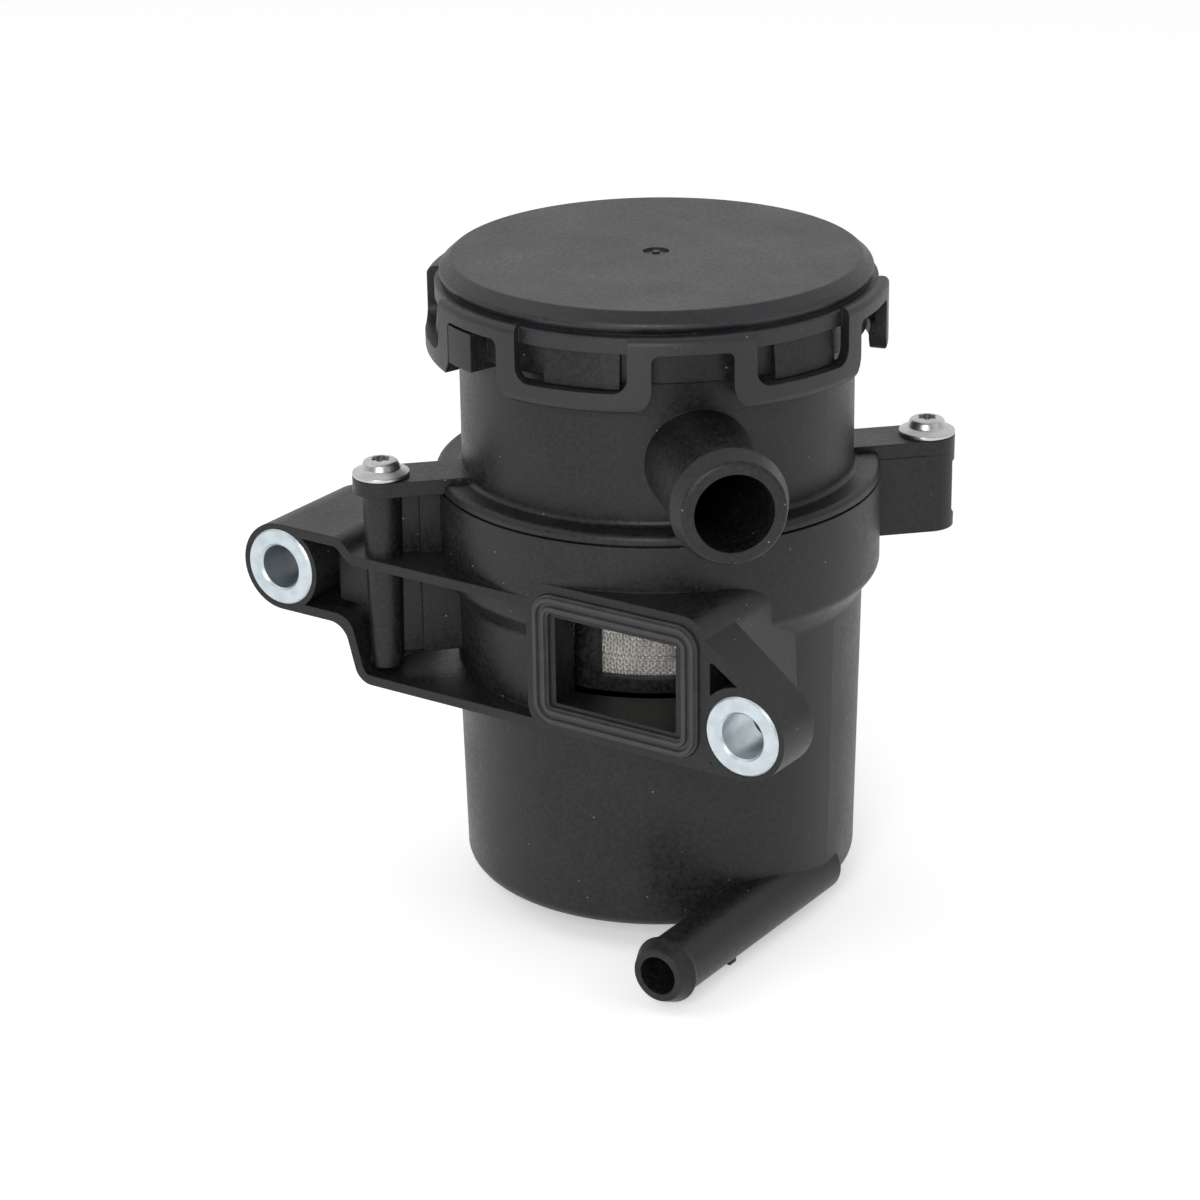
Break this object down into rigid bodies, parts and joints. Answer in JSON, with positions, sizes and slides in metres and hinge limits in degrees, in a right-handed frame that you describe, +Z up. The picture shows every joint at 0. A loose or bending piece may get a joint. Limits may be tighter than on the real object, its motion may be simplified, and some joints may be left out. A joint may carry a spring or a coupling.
{
  "type": "crankcase breather",
  "caption": "Black plastic engine oil separator with a clip-on lid, hose nozzle, drain tube and a bushed bracket round its inlet flange.",
  "frame": {"origin": "middle of the right bush's bore, half a bush behind the mounting face", "axes": "+Z up along the canister, +Y from the engine's face towards the canister, +X from the left bush to the right one"},
  "size_m": [0.127, 0.1, 0.1327],
  "materials": {
    "housing_plastic": "glass filled nylon, satin",
    "lid_plastic": "glass filled nylon, satin, fine grain",
    "gasket_rubber": "matt",
    "seal_rubber": "matt",
    "diaphragm_rubber": "matt",
    "zinc_steel": "blue zinc plate",
    "screw_steel": "zinc plate",
    "spring_steel": "bright wire",
    "wire_mesh": "knitted stainless wire",
    "valve_plastic": "natural nylon",
    "basket_plastic": "nylon, satin"
  },
  "bodies": {
    "housing": {"lower_housing": "housing_plastic", "upper_housing": "housing_plastic", "lid": "lid_plastic", "port_gasket": "gasket_rubber", "bush_left": "zinc_steel", "bush_right": "zinc_steel", "screw_left": "screw_steel", "screw_right": "screw_steel", "housing_seal": "seal_rubber", "diaphragm": "diaphragm_rubber", "regulator_spring": "spring_steel", "mesh_pack": "wire_mesh", "mesh_basket": "basket_plastic", "mesh_cover": "basket_plastic"},
    "valve": {"diaphragm_plate": "valve_plastic", "spring_cup": "valve_plastic"}
  },
  "joints": [
    {"name": "valve_lift", "type": "slide", "parent": "housing", "child": "valve", "axis": [0, 0, 1], "range_m": [-0.0035, 0], "stiffness_N_per_m": 150, "springref_m": 0.005, "deforming": ["regulator_spring", "diaphragm"]}
  ]
}
